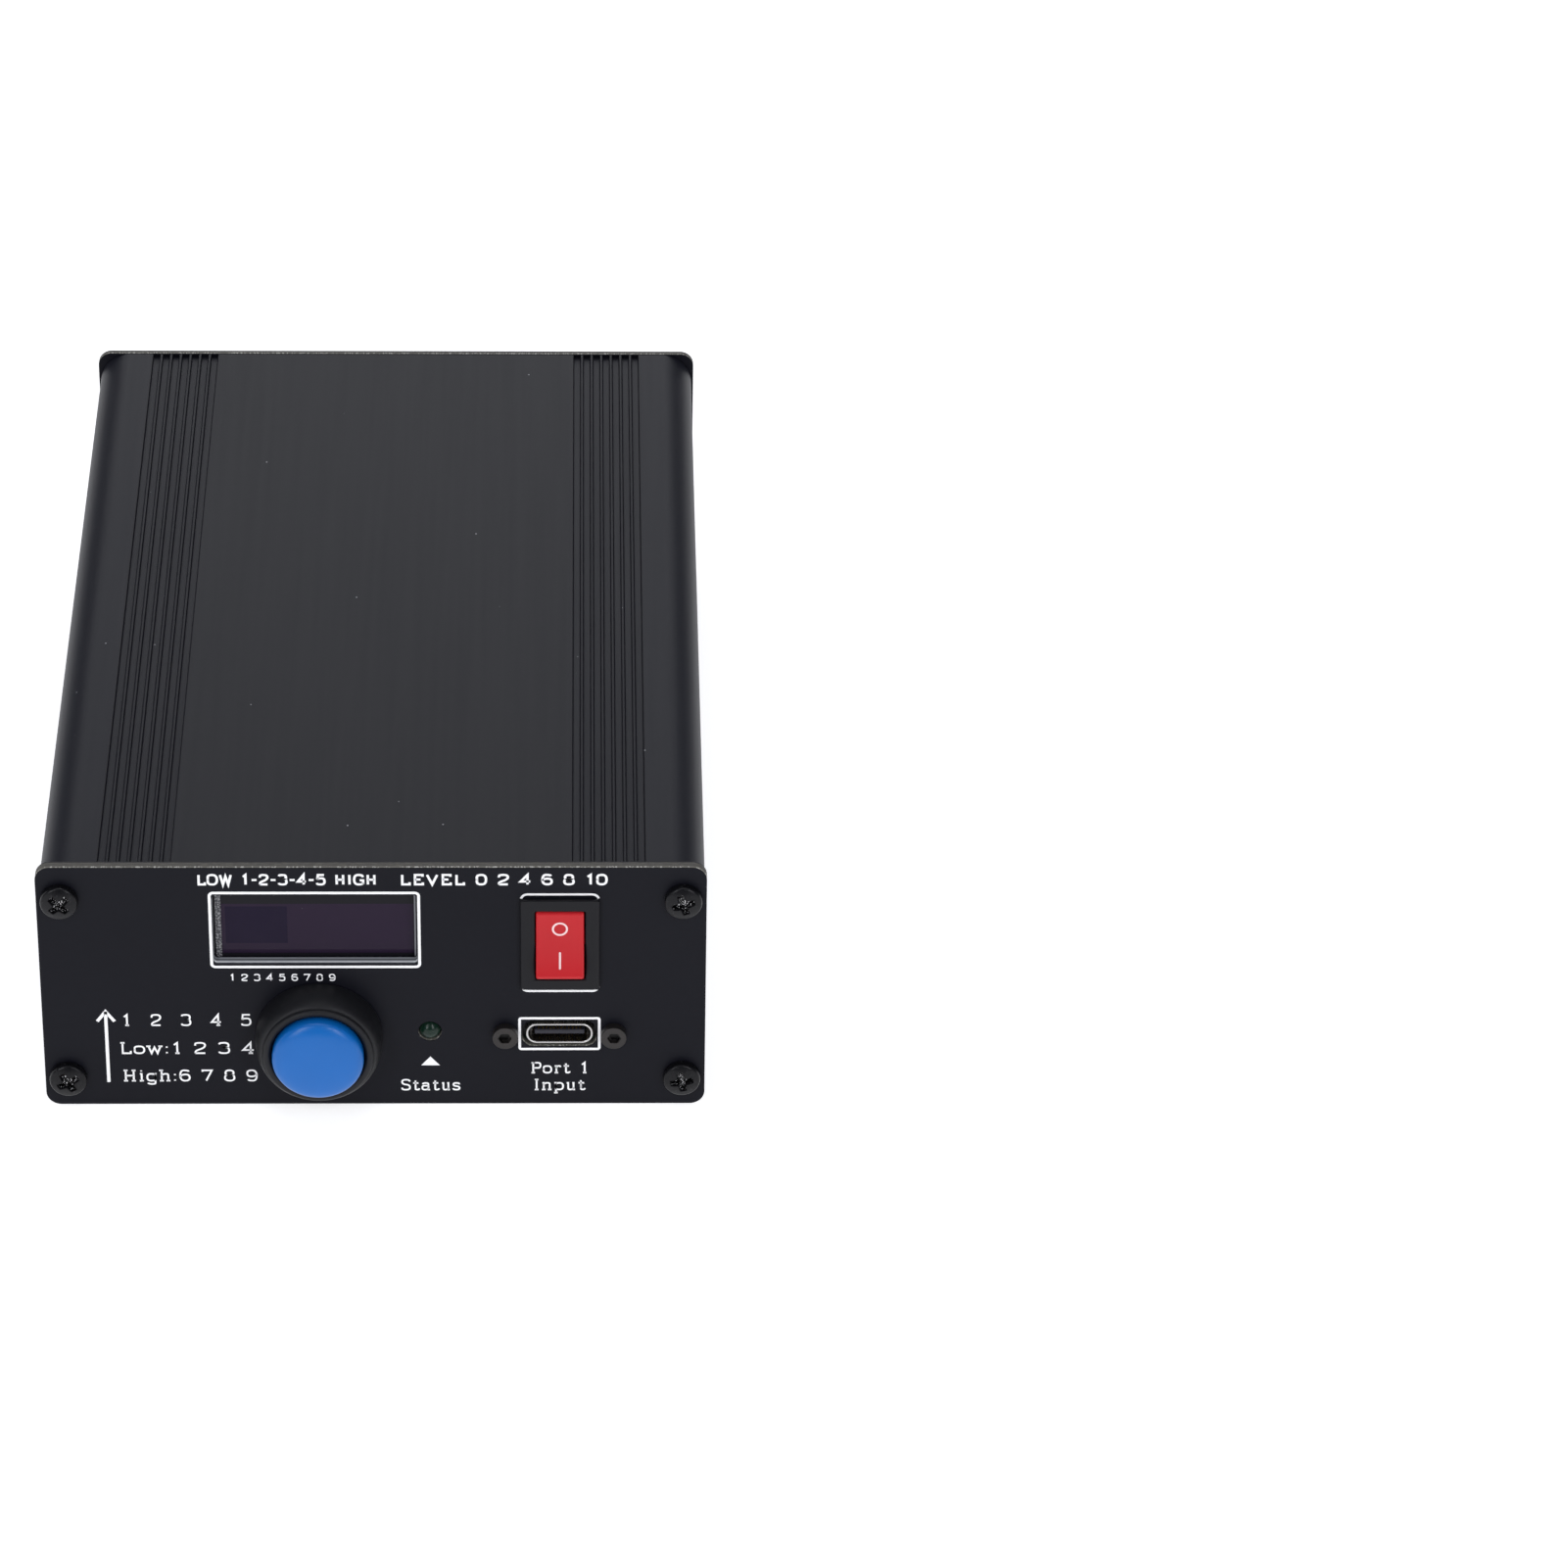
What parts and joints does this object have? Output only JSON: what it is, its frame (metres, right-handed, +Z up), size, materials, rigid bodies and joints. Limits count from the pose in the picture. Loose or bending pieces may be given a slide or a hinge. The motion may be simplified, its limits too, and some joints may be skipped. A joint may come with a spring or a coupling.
{
  "type": "antenna tuner",
  "caption": "Compact automatic antenna tuner: black split aluminium case with a display window, rocker switch, push button, charging port and bayonet antenna sockets.",
  "frame": {"origin": "centre of the base, on the surface the case rests on, midway between the ends of the extruded case", "axes": "+X to the right as seen from the front, +Y from the front panel to the rear panel, +Z up"},
  "size_m": [0.0886, 0.1598, 0.0384],
  "materials": {
    "case_anodised": "matte black anodised",
    "panel_board": "satin black solder mask on glass-fibre board",
    "black_screws": "black oxide steel",
    "port_screw_steel": "blackened steel, worn brown",
    "display_glass": "dark purple glass, glossy",
    "ribbon_film": "amber film",
    "foam_tape": "white foam tape",
    "blue_board": "blue solder mask",
    "green_board": "green solder mask",
    "black_moulding": "satin black moulded plastic",
    "button_black": "satin black moulded plastic",
    "rocker_red": "satin red moulded plastic",
    "button_blue": "satin blue moulded plastic",
    "ivory_moulding": "ivory moulded plastic",
    "seal_rubber": "matte black rubber",
    "spring_steel": "plain spring steel",
    "contact_brass": "bright brass",
    "gold_plate": "gold-plated brass",
    "phenolic": "brown phenolic",
    "port_steel": "bright stainless steel",
    "port_tongue_black": "black moulded plastic",
    "light_lens": "dark green tinted lens",
    "chip_black": "black moulded package",
    "coil_red": "red-painted iron powder core",
    "ferrite_grey": "dark grey ferrite",
    "enamelled_copper": "enamelled copper wire",
    "capacitor_tan": "tan ceramic",
    "battery_wrap": "blue wrap over a lithium cell",
    "wire_sleeve": "light grey wire sleeve",
    "battery_wire": "red wire sleeve",
    "nickel_plate": "bright nickel plate",
    "white_insulator": "white fluoroplastic"
  },
  "bodies": {
    "case": {"upper_shell": "case_anodised", "lower_shell": "case_anodised", "front_panel": "panel_board", "rear_panel": "panel_board", "front_panel_screws": "black_screws", "rear_panel_screws": "black_screws", "display_glass": "display_glass", "display_ribbon": "ribbon_film", "display_tape": "foam_tape", "display_board": "blue_board", "display_header": "black_moulding", "display_pins": "gold_plate", "switch_housing": "black_moulding", "switch_terminals": "contact_brass", "button_bezel": "button_black", "button_seal": "seal_rubber", "button_nut": "black_moulding", "button_spring": "spring_steel", "button_base": "phenolic", "button_terminals": "contact_brass", "port_shell": "port_steel", "port_tongue": "port_tongue_black", "port_contacts": "gold_plate", "port_bracket": "black_moulding", "port_screws": "port_screw_steel", "port_nuts": "contact_brass", "charger_board": "green_board", "charger_parts": "chip_black", "charge_light": "light_lens", "charge_light_leads": "port_steel", "tuning_board": "green_board", "relays": "ivory_moulding", "coil_cores": "coil_red", "coil_windings": "enamelled_copper", "capacitors": "capacitor_tan", "controller_chip": "chip_black", "transformer_cores": "ferrite_grey", "transformer_windings": "enamelled_copper", "wire_plugs": "ivory_moulding", "power_inductor": "ferrite_grey", "battery": "battery_wrap", "battery_tape": "foam_tape", "battery_leads": "battery_wire", "socket_bodies": "nickel_plate", "socket_insulators": "white_insulator", "socket_contacts": "gold_plate", "socket_tags": "contact_brass", "socket_washers": "nickel_plate", "socket_nuts": "nickel_plate", "front_wires": "wire_sleeve", "antenna_wires": "wire_sleeve"},
    "rocker": {"rocker": "rocker_red", "rocker_plunger": "ivory_moulding", "rocker_spring": "spring_steel"},
    "contact_arm": {"switch_contact_arm": "contact_brass"},
    "button": {"button_cap": "button_blue", "button_plunger": "ivory_moulding", "button_contact_bridge": "contact_brass"}
  },
  "joints": [
    {"name": "rocker_tilt", "type": "hinge", "parent": "case", "child": "rocker", "pos_m": [0.0248, -0.0674, 0.0264], "axis": [1, 0, 0], "range_deg": [0, 20]},
    {"name": "contact_arm_tilt", "type": "hinge", "parent": "case", "child": "contact_arm", "pos_m": [0.0248, -0.06035, 0.0264], "axis": [1, 0, 0], "range_deg": [-12, 0]},
    {"name": "button_press", "type": "slide", "parent": "case", "child": "button", "axis": [0, 1, 0], "range_m": [0, 0.0016], "stiffness_N_per_m": 700, "springref_m": -0.0015, "deforming": ["button_spring"]}
  ],
  "couplings": [
    {"joint": "contact_arm_tilt", "follows": "rocker_tilt", "ratio": -0.6}
  ]
}
